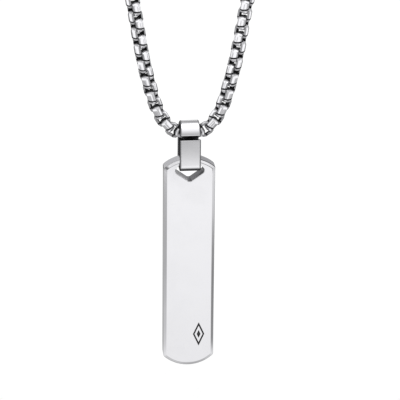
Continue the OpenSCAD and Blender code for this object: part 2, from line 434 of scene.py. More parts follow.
def rim_painted_shade(shape, rows):
    """A number for each point of the bar's rim: fine lines of painted shade along both edges of the
    bevel, strongest round the upper end and over its left corner."""
    s = shape.s
    # The rim's rows, from the front face over its bevel to the side and the back edge
    inner_edge, slope, outer_edge, side = slice(2, 7), slice(7, 9), slice(9, 14), slice(14, 16)
    front, flank = slice(2, 14), slice(14, 22)
    x, z = shape.outline(0).T
    # The two ends fade over the last millimetre of the sides, the right side towards its foot
    upper = np.clip((z - shape.top) / MM + 1, 0, 1) * np.where(x > 0, 1, 0.6)
    lower = np.clip((shape.low - z) / MM + 0.5, 0, 1)
    right = np.clip((z - shape.low) / s.side - 0.25, 0, 0.5) * (x > 0)
    # What lies further to the left of the lower end, and to the right of the upper one
    lower_left = lower * np.clip(0.6 - x / (2 * MM), 0, 1)
    shoulder = upper * np.clip(x / (2.5 * MM) - 1, 0, 1)
    # A spot of painted shade just inside the upper left corner
    away = np.hypot(x + s.width / 2 - 0.3 * MM, z - shape.top - 0.15 * MM)
    corner = np.clip(1.3 - away / (0.5 * MM), 0, 1)
    shade_line = np.zeros((rows, len(x)))
    shade_line[inner_edge] = np.maximum(0.85 * upper + 0.15 * shoulder, 0.3 * lower)
    shade_line[slope] = 0.2 * lower_left + 0.35 * shoulder
    shade_line[outer_edge] = np.maximum.reduce([upper, 0.5 * lower + 0.35 * lower_left, right])
    shade_line[side] = 0.15 * lower_left
    for part, dark in ((front, 0.85), (flank, 0.45)):
        shade_line[part] = np.maximum(shade_line[part], dark * corner)
    return shade_line


def build_bar(s, bail, steel, enamel):
    """The bar: bevelled rim, back, hole wall, flat faces and the cut mark.

    The rim is the profile (inset, depth) carried round the outline; the hole's wall is the
    profile (outset, depth) carried round the hole, its easing wider along the upper edge.
    """
    shape = BarShape(s, bail)
    t, e = s.thickness / 2, s.edge
    points, faces, kinds = [], [], []

    def add(grid, flip, kind=0):
        """Add rows of points round a loop, and return their numbers row by row."""
        rows, columns = grid.shape[:2]
        at = sum(map(len, points))
        quads = strips(rows, columns, at)
        points.append(grid.reshape(-1, 3))
        faces.append(quads[:, ::-1] if flip else quads)
        kinds.append(np.repeat(np.broadcast_to(kind, rows - 1), columns))
        return np.arange(at, at + rows * columns).reshape(rows, columns)

    # Each face starts as a ring beside its bevel, and the front bevel's edges are softer
    ring = 0.3 * MM
    profile = eased(
        [(s.bevel_width + ring, -t), (s.bevel_width, -t), (0, -t + s.bevel_depth),
         (0, t - s.back_bevel), (s.back_bevel, t), (s.back_bevel + ring, t)],
        [2 * e, 2.2 * e, 1.5 * e, 1.5 * e])
    rim = add(np.stack([facing(shape.outline(i), y) for i, y in profile]), False)

    # The hole's wall: the easing grows from edge to bridge_ease along the flat top
    base = shape.hole(0.0)
    across = np.clip((s.hole_width / 2 - s.hole_round - np.abs(base[:, 0])) / (0.5 * MM), 0, 1)
    top = np.clip((base[:, 1] - shape.hole_top + 0.15 * MM) / (0.15 * MM), 0, 1)
    ease = e + (s.bridge_ease - e) * across * top
    a = np.linspace(0, math.pi / 2, 6)
    out, deep = np.append(1, 1 - np.sin(a)), np.append(0, 1 - np.cos(a))
    half = len(out)
    out, deep = np.append(out, out[::-1]), np.append(deep, deep[::-1])
    side = np.repeat([-1, 1], half)
    # The first and the last row lie on the faces, a little way off the easing
    hold = np.zeros(2 * half)
    hold[[0, -1]] = 0.1 * MM
    shift = out[:, None] * ease + hold[:, None]
    flat = base + unit(shape.hole(0.1 * MM) - base) * shift[..., None]
    y = side[:, None] * (t - deep[:, None] * ease)
    wall = add(np.stack([flat[..., 0], y, flat[..., 1]], -1), True)

    # The mark: for each loop a ring on the face beside the cut, its edge and its wall
    marks = [
        add(np.stack([facing(outer, -t), facing(loop, -t), facing(loop, -t + 0.02 * MM),
                      facing(loop, -t + s.mark_depth)]), k != 1, (0, 0, 1))
        for k, (loop, outer) in enumerate(zip(shape.mark(), shape.mark(0.04 * MM)))]

    everything = np.vstack(points)
    for loops, flip, kind in (([rim[0], wall[0], *(mark[0] for mark in marks)], False, 0),
                              ([rim[-1], wall[-1]], True, 0),
                              ([mark[-1] for mark in marks], False, 1)):
        flat = np.concatenate(loops)[fill([everything[loop][:, [0, 2]] for loop in loops])]
        faces.append(flat[:, ::-1] if flip else flat)
        kinds.append(np.full(len(flat), kind))
    piece = new_piece("bar_plate", everything + AXIS, faces, [steel, enamel],
                      np.concatenate(kinds), sharp=math.radians(38))
    # Painted shade for each point of the bar, which also dulls its gloss
    shade_and_dull = np.zeros(len(everything))
    # Painted shade on the wall between its easings, lighter towards the left
    shade_and_dull[wall[half - 1:half + 1]] = s.hole_shade + np.interp(
        base[:, 0] / MM, [-2.6, -1.2, 0, 0.02], [-0.35, -0.1, 0, 0.2])
    shade_and_dull[rim] = rim_painted_shade(shape, len(rim))
    mask_values(piece, "painted_shade", shade_and_dull, "POINT")
    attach(piece, "bar")
    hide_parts("bar")


# ---- Bail -----------------------------------------------------------------------------------


def strap_section(s, inset, corner=4):
    """The strap's rounded section (across, out), drawn in by inset, from its lower right.

    A rectangle whose corners are arcs of radius edge - inset about fixed centres; points close
    to each arc keep the flats flat.
    """
    r = max(s.edge - inset, LEAST_STRAP)
    x, n = s.width / 2 - inset - r, s.thickness / 2 - inset - r
    arcs = [turn_arc(c, r, a, a + math.pi / 2, corner)
            for c, a in zip([(x, -n), (x, n), (-x, n), (-x, -n)],
                            np.radians([-90, 0, 90, 180]))]
    rows = []
    for arc, following in zip(arcs, arcs[1:] + arcs[:1]):
        rows += [arc, arc[-1] + (following[0] - arc[-1]) * np.array(BESIDE)[:, None]]
    return np.vstack(rows)


def build_bail(s, steel):
    """The bail: the strap's section carried along its folded path, with both ends closed.

    The path is the middle of the strap in the plane (back, up): the straight front leg, a small
    corner, the foot, a corner, the back leg and a half circle over the chain. Its outward
    normal turns with it. At each lip the section draws in over a quarter circle.
    """
    pi = math.pi
    mid = s.inner_radius + s.thickness / 2
    bend = s.corner + s.thickness / 2
    foot = mid - bend
    lip = math.asin((s.seam_gap - s.seam_low) / mid)
    down = np.linspace(-s.seam_low, -s.leg, 16)[:-1]
    rise = np.linspace(-s.leg, 0, 14)[1:-1]
    # Each row's place is (back, up) + reach (cos turn, sin turn), and the strap faces along turn
    parts = ((0, down, mid, pi), (-foot, -s.leg, bend, np.linspace(1, 1.5, 9) * pi),
             (foot, -s.leg, bend, np.linspace(1.5, 2, 9) * pi), (0, rise, mid, 0),
             (0, 0, mid, np.linspace(0, pi - lip, 49)))
    back, up, reach, turn = (
        np.concatenate(values) for values in zip(*(np.broadcast_arrays(*part) for part in parts)))
    out = np.stack([np.cos(turn), np.sin(turn)], 1)
    path = np.stack([back, up], 1) + reach[:, None] * out
    # Rounded lips: n_lip rows at each end, drawn in over a quarter circle as they near it
    n_lip = 6
    a = np.linspace(0, pi / 2, n_lip)
    inset, behind = LIP_ROUND * (1 - np.sin(a)), LIP_ROUND * (1 - np.cos(a))
    ahead = [np.array([0.0, -1.0]), np.array([math.sin(turn[-1]), -math.cos(turn[-1])])]
    path = np.vstack([path[0] + behind[:, None] * ahead[0], path[1:-1],
                      path[-1] + behind[::-1, None] * ahead[1]])
    out = np.vstack([np.repeat(out[:1], n_lip, 0), out[1:-1], np.repeat(out[-1:], n_lip, 0)])
    inset = np.concatenate([inset, np.zeros(len(path) - 2 * n_lip), inset[::-1]])
    # The strap is narrower towards the top of the loop
    over = np.where(path[:, 1] > 0, np.maximum(out[:, 1], 0), 0)
    narrow = (1 - s.taper * over)[:, None]
    sections = np.stack([strap_section(s, i) for i in inset])
    across, n = sections[..., 0] * narrow, sections[..., 1]
    grid = np.stack([across, path[:, None, 0] + n * out[:, None, 0],
                     path[:, None, 1] + n * out[:, None, 1]], -1)
    rows, columns = grid.shape[:2]
    caps = np.stack([np.arange(columns)[::-1], np.arange(columns) + (rows - 1) * columns])
    piece = new_piece("bail_strap", grid.reshape(-1, 3) + AXIS,
                      [strips(rows, columns)[:, ::-1], caps], [steel], sharp=math.radians(50))
    # Painted shade, with duller gloss, towards the strap's edges, at its lips, under its foot and on
    # its inner side
    edges = np.clip((np.abs(across) / narrow - s.width / 2) / s.edge + 1.5, 0, 0.9)
    inward = np.clip((-n - s.thickness / 2) / s.edge + 1, 0, 1)
    under = np.clip(-out[:, 1:] / 0.38, 0, 1) + 0 * n
    lips = np.minimum(2 * inset / LIP_ROUND, 1)[:, None] + 0 * n
    mask_values(piece, "painted_shade", np.maximum.reduce([edges, inward, under, lips]), "POINT")
    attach(piece, "bail")
    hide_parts("bail")


# ---- Chain ----------------------------------------------------------------------------------


def spline(points, count=6000):
    """A natural cubic spline through points over their chord length, evenly sampled.

    With h the gaps and d the slopes between points, the second derivatives m solve
    h[i-1] m[i-1] + 2 (h[i-1] + h[i]) m[i] + h[i] m[i+1] = 6 (d[i] - d[i-1]), zero at both ends.
    Returns the samples, their unit tangents and the arc length at each.
    """
    h = np.linalg.norm(np.diff(points, axis=0), axis=1)
    t = np.concatenate([[0], np.cumsum(h)])
    d = np.diff(points, axis=0) / h[:, None]
    n = len(points)
    system = np.eye(n)
    i = np.arange(1, n - 1)
    system[i, i - 1], system[i, i], system[i, i + 1] = h[:-1], 2 * (h[:-1] + h[1:]), h[1:]
    right = np.zeros_like(points)
    right[1:-1] = 6 * np.diff(d, axis=0)
    m = np.linalg.solve(system, right)
    x = np.linspace(0, t[-1], count)
    k = np.clip(np.searchsorted(t, x, side="right") - 1, 0, n - 2)
    a, b = (t[k + 1] - x)[:, None], (x - t[k])[:, None]
    g = h[k][:, None]
    curve = (m[k] * a ** 3 + m[k + 1] * b ** 3) / (6 * g) + (
        points[k] / g - m[k] * g / 6) * a + (points[k + 1] / g - m[k + 1] * g / 6) * b
    arc = np.concatenate([[0], np.cumsum(np.linalg.norm(np.diff(curve, axis=0), axis=1))])
    return curve, unit(np.gradient(curve, axis=0)), arc


def link_shape(s):
    """One link about the origin, its length along X, as points, quads and what each quad's
    corners carry: normal, place across the strip, place round the bends, and painted shade.

    The ring is a rounded rectangle in the plane XY, with 3 stations on each corner's quarter turn.
    Across it (Z) the outer face is a dome of the given crown with a bevel on each side; the
    strip's sides and inner face are flat. A place round the ring is its distance along the
    straight and the bend from the middle of the face, as a share of the distance to the end.
    """
    stations, places = 12, 7
    c, d = s.link / 2 - s.corner, s.width / 2 - s.corner
    a = np.radians(np.concatenate([q + np.array([0, 45, 90]) for q in (0, 90, 180, 270)]))
    normal = np.stack([np.cos(a), np.sin(a)], 1)
    centre = np.repeat([(c, d), (-c, d), (-c, -d), (c, -d)], 3, 0)
    w = s.strip / 2
    v = np.array([-w, -w + s.edge, 0, w - s.edge, w, w, -w])
    h = np.tile([-s.crown - s.edge, -s.crown, 0, -s.crown, -s.crown - s.edge, 0, 0],
                (stations, 1))
    thicker = (s.end_thickness - s.strip_thickness) * normal[:, :1] ** 2
    h[:, 5:] = -s.strip_thickness - thicker
    ring = centre[:, None] + normal[:, None] * (s.corner + h)[..., None]
    points = np.concatenate([ring, np.broadcast_to(v, (stations, places))[..., None]], -1)
    # Station k and place j in the section of each quad's corners
    k, j = np.mgrid[:stations, :places]
    corner_k = np.stack([k, k + 1, k + 1, k], -1).reshape(-1, 4) % stations
    corner_j = np.stack([j, j, j + 1, j + 1], -1).reshape(-1, 4) % places
    # How far the normals lean at the dome's borders and on its bevels
    lean, side = math.atan2(2 * s.crown, w - s.edge), math.radians(68)
    tilt = np.array([-side, -lean, 0, lean, side, 0, 0])[corner_j][..., None]
    out = np.concatenate([normal, np.zeros((stations, 1))], 1)[corner_k]
    up = np.array([0.0, 0.0, 1.0])
    # The section's quads in order: four on the dome, a side, the inside and the other side
    kind = np.tile([0, 0, 0, 0, 1, 2, 3], stations)
    normals = np.select([(kind == n)[:, None, None] for n in range(4)],
                        [np.cos(tilt) * out + np.sin(tilt) * up, up + 0 * out, -out, -up + 0 * out])
    # Painted shade: full on the strip's inner face, and the sides' share on its two sides
    painted_shade = np.array([0, s.side_shade, 1, s.side_shade])[kind]
    turned = s.corner * np.arcsin(np.clip(normal[:, 0], -1, 1))
    along = (np.sign(centre[:, 0]) * c + turned) / (c + s.corner * math.pi / 2)
    return (points.reshape(-1, 3), strips(stations, places, close_rows=True), normals,
            (v / w)[corner_j], along[corner_k], painted_shade)


def build_chain(s, steel):
    """The chain: every link in one mesh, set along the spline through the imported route.

    With i counted from the middle one, link i of n stands at the arc length
    L / 2 + i (L - 0.6 link) / (n - 1). Its frame is the tangent, the loop's front normal made
    square to it, and their cross product, rolled about the tangent by the twist, plus 90
    degrees for every other link.
    """
    left = HALF_ROUTE[:0:-1] * (-1, 1, 1)
    curve, tangents, arc = spline(np.vstack([left, HALF_ROUTE]))
    total = arc[-1]
    count = 2 * s.pairs + 1
    # The end links stand a little inside the route's ends, in the clasp's cups
    pitch = (total - 0.6 * s.link) / (count - 1)
    at = (np.arange(count) - s.pairs) * pitch + total / 2
    centre = np.stack([np.interp(at, arc, curve[:, k]) for k in range(3)], 1)
    along = unit(np.stack([np.interp(at, arc, tangents[:, k]) for k in range(3)], 1))
    loop_normal = unit(np.array([0, AXIS[2], -AXIS[1]]))
    side = unit(np.cross(along, loop_normal))
    front = np.cross(side, along)
    # The twist: the inner column faces the viewer high up, the outer one beside the bail.
    # It turns by 45 degrees over 24 mm of chain, and sways by up to 6 degrees past that.
    away = np.abs(at - total / 2)
    turn = np.clip((away - 4 * MM) / (24 * MM), 0, 1)
    turn = turn * turn * (3 - 2 * turn)
    twist = np.radians(-72 + 45 * turn + 6 * np.sin(away / (23 * MM)) * turn)
    twist += np.where((np.arange(count) - s.pairs) % 2, math.pi / 2, 0)
    # No link lies quite straight
    random = np.random.default_rng(7)
    twist += np.radians(random.normal(0, 1.2, count))
    c, n = np.cos(twist)[:, None], np.sin(twist)[:, None]
    u = c * front + n * side
    v = np.cross(along, u)
    turns = np.stack([along, u, v], -1)
    points, quads, normals, across, place, wear_and_shade = link_shape(s)
    placed = np.einsum("lij,pj->lpi", turns, points) + centre[:, None] + AXIS
    bent = np.einsum("lij,qcj->lqci", turns, normals)
    faces = (quads[None] + (np.arange(count) * len(points))[:, None, None]).reshape(-1, 4)
    piece = new_piece("chain_links", placed.reshape(-1, 3), [faces], [steel], normals=bent)
    mask_values(piece, "across", np.tile(across.ravel(), count), "CORNER")
    # Places run from -1 at each link's upper end to 1 at its lower end, slanting across it
    lower = np.where(np.arange(count) < s.pairs, 1, -1)[:, None]
    down = lower * place.ravel() + s.slant * across.ravel()
    mask_values(piece, "down", down, "CORNER")
    # The links inside the bail get painted shade, up to just outside its edges
    low, bail_edge, fade = np.abs(centre[:, None, 2]) < 5 * MM, 2.2 * MM, 0.2 * MM
    bail_shade = low * (1 - np.clip((np.abs(placed[..., 0]) - bail_edge) / fade, 0, 1))
    # Painted shade on each link's inner face and sides, and over the links inside the bail
    mask_values(piece, "painted_shade", np.maximum(bail_shade[:, quads], wear_and_shade[:, None]), "CORNER")
    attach(piece, "loop")
    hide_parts("chain")


# ---- Clasp ----------------------------------------------------------------------------------


def build_clasp(s, steel):
    """The clasp: a turned profile (along, radius) with eased edges, carried round its axis."""
    half, r, around = s.length / 2, s.diameter / 2, 64
    neck, cup_end = r - s.step, half - s.cup_depth
    # The easing of the edges and of the cups' floors, and the radii of the cap in the middle
    # of each floor and of the flat round it
    e, e_cup, tip, floor = 0.08 * MM, 0.2 * MM, 0.02 * MM, 0.3 * MM
    right = [(s.waist, neck), (half - s.collar - s.step, neck), (half - s.collar, r),
             (half - s.step, r), (half, neck), (half, s.cup), (cup_end, s.cup)]
    outer = [(-x, y) for x, y in right[::-1]] + [(0, neck - s.waist)] + right
    line = np.vstack([
        [(-cup_end, tip)],
        eased([(-cup_end, floor), *outer, (cup_end, floor)],
              [e_cup] + [e] * (len(outer) - 2) + [e_cup], steps=3),
        [(cup_end, tip)]])
    a = np.linspace(0, 2 * math.pi, around, endpoint=False)
    grid = np.stack([np.repeat(line[:, :1], around, 1), line[:, 1:] * np.cos(a),
                     line[:, 1:] * np.sin(a)], -1)
    rows = len(line)
    caps = np.stack([np.arange(around), np.arange(around)[::-1] + (rows - 1) * around])
    quads = strips(rows, around)[:, ::-1]
    piece = new_piece("clasp_barrel", grid.reshape(-1, 3), [quads, caps[:, ::-1]], [steel],
                      sharp=math.radians(40))
    # The cups and their floors get painted shade
    x, radius = line[:-1].T
    cups = (np.abs(x) < half - 0.1 * MM) & (radius < s.cup + 0.02 * MM)
    dark = 0.8 * np.append(np.repeat(cups, around), [1, 1])
    mask_values(piece, "painted_shade", dark, "FACE")
    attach(piece, "loop")
    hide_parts("clasp")


# ---- Finishes -------------------------------------------------------------------------------


def join(tree, socket, value):
    """Give a socket a value, or link another node's output to it."""
    if isinstance(value, bpy.types.NodeSocket):
        tree.links.new(value, socket)
    else:
        socket.default_value = value


def feed(tree, made, **values):
    """Fill a node's inputs by name, with _ for a space, or else its own settings."""
    for name, value in values.items():
        if hasattr(made, name) and name not in made.inputs:
            setattr(made, name, value)
        else:
            join(tree, made.inputs[name.replace("_", " ")], value)
    return made


def node(tree, kind, **values):
    """A new shader node with its inputs and settings."""
    return feed(tree, tree.nodes.new("ShaderNode" + kind), **values)


def calc(tree, operation, a, b=None, clamp=False):
    """The result of one math node."""
    made = node(tree, "Math", operation=operation, use_clamp=clamp)
    for socket, value in zip(made.inputs, (a, b)):
        if value is not None:
            join(tree, socket, value)
    return made.outputs[0]


def soft_step(tree, value, low, high, at_low, at_high):
    """value from low to high eased into at_low to at_high."""
    made = node(tree, "MapRange", interpolation_type="SMOOTHSTEP")
    for socket, number in zip(made.inputs, (value, low, high, at_low, at_high)):
        join(tree, socket, number)
    return made.outputs[0]


def blend(tree, mask, a, b, kind="FLOAT", **settings):
    """a where the mask is 0 and b where it is 1: numbers, or colours with kind RGBA."""
    made = node(tree, "Mix", data_type=kind, **settings)
    first, result = (6, 2) if kind == "RGBA" else (2, 0)
    for k, value in ((0, mask), (first, a), (first + 1, b)):
        join(tree, made.inputs[k], value)
    return made.outputs[result]


def new_group(name, inputs, outputs):
    """A shader node group, the sockets that its input gives and its output node.

    inputs and outputs give each socket's default: a number, a vector or a colour.
    """
    kinds = {1: "NodeSocketFloat", 3: "NodeSocketVector", 4: "NodeSocketColor"}
    group = bpy.data.node_groups.new(name, "ShaderNodeTree")
    for way, sockets in (("INPUT", inputs), ("OUTPUT", outputs)):
        for socket, default in sockets.items():
            made = group.interface.new_socket(name=socket, in_out=way,
                                              socket_type=kinds[np.size(default)])
            made.default_value = default
    return group, group.nodes.new("NodeGroupInput").outputs, group.nodes.new("NodeGroupOutput")


def polish_lines():
    """Fine lines that polishing leaves: long noise along one way and shorter noise across it."""
    group, given, out = new_group(
        "Polish Lines", {"Vector": (0, 0, 0), "Along": (1, 1, 1), "Scale": 1000.0},
        {"Height": 0.0})
    stretch = node(group, "VectorMath", operation="MULTIPLY")
    join(group, stretch.inputs[0], given["Vector"])
    join(group, stretch.inputs[1], given["Along"])
    fine = node(group, "TexNoise", Vector=stretch.outputs[0], Scale=given["Scale"], Detail=4.0,
                Roughness=0.6)
    loose = node(group, "TexNoise", Vector=given["Vector"], Detail=2.0,
                 Scale=calc(group, "MULTIPLY", given["Scale"], 0.35))
    feed(group, out, Height=calc(group, "ADD",
                                 calc(group, "MULTIPLY", fine.outputs["Fac"], 0.8),
                                 calc(group, "MULTIPLY", loose.outputs["Fac"], 0.2)))
    return group


def wiped_film():
    """The soft uneven film that handling and wiping leave, as a mask from 0 to 1."""
    group, given, out = new_group("Wiped Film", {"Vector": (0, 0, 0), "Scale": 180.0},
                                  {"Mask": 0.0})
    cloud = node(group, "TexNoise", Vector=given["Vector"], Scale=given["Scale"], Detail=3.0,
                 Roughness=0.55, Distortion=0.4)
    ramp = node(group, "MapRange", Value=cloud.outputs["Fac"], From_Min=0.38, From_Max=0.66)
    feed(group, out, Mask=ramp.outputs[0])
    return group


def painted_shade_tone():
    """Colour and roughness that turn from the polished metal to those of the painted shade by its
    mask.
    """
    group, given, out = new_group(
        "Painted Shade Tone",
        {"Metal": (1, 1, 1, 1), "Recess": (0, 0, 0, 1), "Mask": 0.0, "Film": 0.0,
         "Polish": 0.07, "Spread": 0.05, "Dull": 0.3},
        {"Color": (1, 1, 1, 1), "Roughness": 0.0})
    filmed = blend(group, calc(group, "MULTIPLY", given["Film"], 0.05), given["Metal"],
                   (0.6, 0.6, 0.6, 1), "RGBA", blend_type="MULTIPLY")
    wear_and_shade = calc(group, "ADD", given["Polish"],
                calc(group, "MULTIPLY", given["Film"], given["Spread"]))
    # Where the mask paints shade the colour turns dark and the gloss duller
    shade_and_dull = calc(group, "MULTIPLY", given["Mask"], given["Dull"])
    feed(group, out, Color=blend(group, given["Mask"], filmed, given["Recess"], "RGBA"),
         Roughness=calc(group, "ADD", wear_and_shade, shade_and_dull, clamp=True))
    return group


def link_painted_shade():
    """Painted shade on a link, from 0 to 1, by its places across the strip and down the link.

    A fine line of painted shade crosses the foot of each face. The upper bend is painted grey and
    then black, over a front that the strip's dome draws into a smile. The strip's edges are painted
    grey, and so is a faint line down the middle of each face.
    """
    group, given, out = new_group("Link Painted Shade", {"Across": 0.0, "Down": 0.0, "Recess": 0.0},
                                  {"Mask": 0.0})
    across, down = calc(group, "ABSOLUTE", given["Across"]), given["Down"]
    smile = calc(group, "MULTIPLY", calc(group, "POWER", across, 3.0), 0.06)
    curved = calc(group, "ADD", down, smile)
    line = calc(group, "MULTIPLY", soft_step(group, curved, 0.2, 0.24, 0, 1),
                soft_step(group, curved, 0.39, 0.43, 1, 0))
    grey = soft_step(group, down, -0.66, -0.5, 0.5, 0)
    black = soft_step(group, down, -0.96, -0.86, 0.97, 0)
    edge = soft_step(group, across, 0.8, 0.96, 0, 0.6)
    middle = calc(group, "MULTIPLY", soft_step(group, across, 0.03, 0.2, 0.4, 0),
                  soft_step(group, calc(group, "ABSOLUTE", down), 0.2, 0.4, 1, 0))
    for mask in (grey, black, edge, middle, given["Recess"]):
        line = calc(group, "MAXIMUM", line, mask)
    feed(group, out, Mask=line)
    return group


GROUPS = {"Polish Lines": polish_lines, "Wiped Film": wiped_film, "Painted Shade Tone": painted_shade_tone,
          "Link Painted Shade": link_painted_shade}


def shared(tree, name, **values):
    """One of the shared node groups, made when it is first used, with values of its own."""
    group = bpy.data.node_groups.get(name) or GROUPS[name]()
    return node(tree, "Group", node_tree=group, **values)


def attribute(tree, name):
    """A number that a piece carries for its material."""
    return node(tree, "Attribute", attribute_name=name).outputs["Fac"]


def new_material(name):
    """A material, its node tree and its Principled shader."""
    material = bpy.data.materials.new(name)
    material.use_nodes = True
    return material, material.node_tree, material.node_tree.nodes["Principled BSDF"]


def steel_material(name, finish, along, scale, bump, spread=0.05, polish=None, links=False):
    """Polished steel: the metal's colour and gloss with film, lines and painted shade where the
    piece's mask says.

    along gives the lines' closeness each way as a share of scale, and bump their depth.
    """
    material, tree, shader = new_material(name)
    place = node(tree, "TexCoord").outputs["Object"]
    lines = shared(tree, "Polish Lines", Vector=place, Along=along, Scale=scale)
    film = shared(tree, "Wiped Film", Vector=place)
    # The piece's painted shade mask
    dark = attribute(tree, "painted_shade")
    if links:
        dark = shared(tree, "Link Painted Shade", Across=attribute(tree, "across"),
                      Down=attribute(tree, "down"), Recess=dark).outputs["Mask"]
    tone = shared(tree, "Painted Shade Tone", Metal=(*finish.steel, 1), Recess=(*finish.painted_shade_colour, 1),
                  Mask=dark, Film=film.outputs["Mask"], Spread=spread,
                  Polish=finish.polish if polish is None else polish, Dull=0.7 if links else 0.3)
    height = node(tree, "Bump", Strength=bump, Distance=0.02 * MM,
                  Height=lines.outputs["Height"])
    feed(tree, shader, Metallic=1.0, Base_Color=tone.outputs["Color"],
         Roughness=tone.outputs["Roughness"], Normal=height.outputs["Normal"])
    return material


def enamel_material(name, finish):
    """The mark's dark fill: satin black with a faint grain."""
    material, tree, shader = new_material(name)
    place = node(tree, "TexCoord").outputs["Object"]
    grain = shared(tree, "Wiped Film", Vector=place, Scale=4000.0).outputs["Mask"]
    tone = blend(tree, grain, (*finish.enamel, 1), (*(1.8 * c for c in finish.enamel), 1),
                 "RGBA")
    rough = calc(tree, "ADD", calc(tree, "MULTIPLY", grain, 0.15), 0.5)
    height = node(tree, "Bump", Strength=0.2, Distance=0.01 * MM, Height=grain)
    feed(tree, shader, Metallic=0.0, Base_Color=tone, Roughness=rough,
         Normal=height.outputs["Normal"])
    return material


# ---- Stage ----------------------------------------------------------------------------------


def level_ramp(tree, value, far, levels):
    """Brightness along value from 0 to far, given as (place, brightness) pairs."""
    ramp = node(tree, "ValToRGB")
    ramp.color_ramp.interpolation = "EASE"
    steps = ramp.color_ramp.elements
    steps.remove(steps[1])
    for k, (place, bright) in enumerate(levels):
        step = steps.new(place / far) if k else steps[0]
        step.position = place / far
        step.color = (*[bright / BRIGHTEST] * 3, 1)
    join(tree, ramp.inputs[0], calc(tree, "DIVIDE", value, far, clamp=True))
    return calc(tree, "MULTIPLY", ramp.outputs[0], BRIGHTEST)


def shader_blend(tree, mask, a, b):
    """Shader a where the mask is 0 and b where it is 1."""
    made = node(tree, "MixShader")
    for socket, value in zip(made.inputs, (mask, a, b)):
        join(tree, socket, value)
    return made.outputs[0]


def stage_material(name):
    """A material whose own shader is taken out, its node tree and its surface socket."""
    material, tree, shader = new_material(name)
    tree.nodes.remove(shader)
    return material, tree, tree.nodes["Material Output"].inputs["Surface"]


def build_floor(z):
    """A wide pale floor, white to the eye. What the metal mirrors of it is set in rings and
    sectors about the pendant: light in front, half light beside and behind, and a white band
    further out that the chain's links mirror."""
    rings, spokes, reach = 13, 48, 320
    ring = np.concatenate([[0.05], np.geomspace(0.2, 8.0, rings - 1)])
    a = np.linspace(0, 2 * math.pi, spokes, endpoint=False)
    grid = np.stack([ring[:, None] * np.cos(a), AXIS[1] + ring[:, None] * np.sin(a),
                     np.full((rings, spokes), z)], -1)
    material, tree, surface = stage_material("stage_floor")
    split = node(tree, "SeparateXYZ", Vector=node(tree, "TexCoord").outputs["Object"])

    def ramp(*levels):
        return level_ramp(tree, away, reach, levels)

    def step(value, low, high, at_low=0, at_high=1):
        return soft_step(tree, value, low, high, at_low, at_high)

    # In millimetres: x to the right of the pendant, d in front of it and away from it
    x = calc(tree, "MULTIPLY", split.outputs["X"], 1 / MM)
    d = calc(tree, "MULTIPLY", calc(tree, "SUBTRACT", AXIS[1], split.outputs["Y"]), 1 / MM)
    away = calc(tree, "SQRT", calc(tree, "ADD", calc(tree, "MULTIPLY", x, x),
                                   calc(tree, "MULTIPLY", d, d)))
    # The angle round from straight ahead, the same to the left and to the right
    bearing = calc(tree, "ABSOLUTE", calc(tree, "ARCTAN2", x, d))
    front = ramp((0, 0.6), (3, 1.0), (15, 1.01), (45, 1.045), (75, 1.07), (100, 1.09),
                 (119, 1.09), (120.5, 0.97), (122, 0.8), (124, 0.76), (129, 0.66), (134, 0.57),
                 (300, 0.57))
    left = ramp((0, 0.72), (14, 0.73), (28, 0.65), (42, 0.57), (60, 0.5), (80, 0.5), (92, 0.54),
                (116, 0.6), (126, 1.2))
    right = ramp((0, 0.32), (50, 0.29), (64, 0.34), (72, 0.42), (79, 0.52), (87, 0.66),
                 (95, 0.74), (116, 0.79), (126, 1.2))
    beside = ramp((0, 0.6), (60, 0.5), (112, 0.5), (124, 1.2))
    back = ramp((0, 0.6), (3, 0.44), (111, 0.43), (117, 0.12), (135, 0.12), (160, 0.2),
                (260, 0.3))
    side = blend(tree, step(x, -2, 2), left, right)
    side = blend(tree, step(bearing, math.radians(64), math.radians(76)), side, beside)
    # The back begins further round near the pendant than it does past the white band
    near = step(bearing, math.radians(138), math.radians(152))
    far = step(bearing, math.radians(114), math.radians(124))
    glow = blend(tree, blend(tree, step(away, 126, 134), near, far), side, back)
    # The front is a wedge along x = 0.1125 d that widens by 0.15 d to each side
    off = calc(tree, "ABSOLUTE", calc(tree, "SUBTRACT", x, calc(tree, "MULTIPLY", d, 0.1125)))
    off = calc(tree, "SUBTRACT", off, calc(tree, "MULTIPLY", d, 0.15))
    ahead = calc(tree, "MULTIPLY", step(off, 6, 14, 1, 0), step(d, 0, 4))
    mirrored = node(tree, "Emission", Strength=blend(tree, ahead, glow, front)).outputs[0]
    seen = shader_blend(tree, 0.1, node(tree, "Emission", Strength=SEEN_WHITE).outputs[0],
                        node(tree, "BsdfGlossy", Roughness=0.12).outputs[0])
    upper = shader_blend(tree, node(tree, "LightPath").outputs["Is Camera Ray"], mirrored, seen)
    under = node(tree, "NewGeometry").outputs["Backfacing"]
    clear = node(tree, "BsdfTransparent").outputs[0]
    join(tree, surface, shader_blend(tree, under, upper, clear))
    floor = new_piece("stage_floor", grid.reshape(-1, 3),
                      [strips(rings, spokes), np.arange(spokes)[None]], [material])


def build_card(name, centre, width, height, tone):
    """A soft grey card behind the pendant, facing it, that only the metal mirrors: a grid
    square to -Y."""
    u = np.linspace(-0.5, 0.5, 5)
    grid = (np.array(centre) + u[:, None, None] * height * np.array([0, 0, 1])
            + u[None, :, None] * width * np.array([1, 0, 0]))
    material, tree, surface = stage_material(name)
    glow = node(tree, "Emission", Color=(tone, tone, tone * 1.02, 1), Strength=1.0)
    join(tree, surface, glow.outputs[0])
    card = new_piece(name, grid.reshape(-1, 3), [strips(5, 5, close_columns=False)], [material])
    card.visible_camera = card.visible_diffuse = card.visible_shadow = False


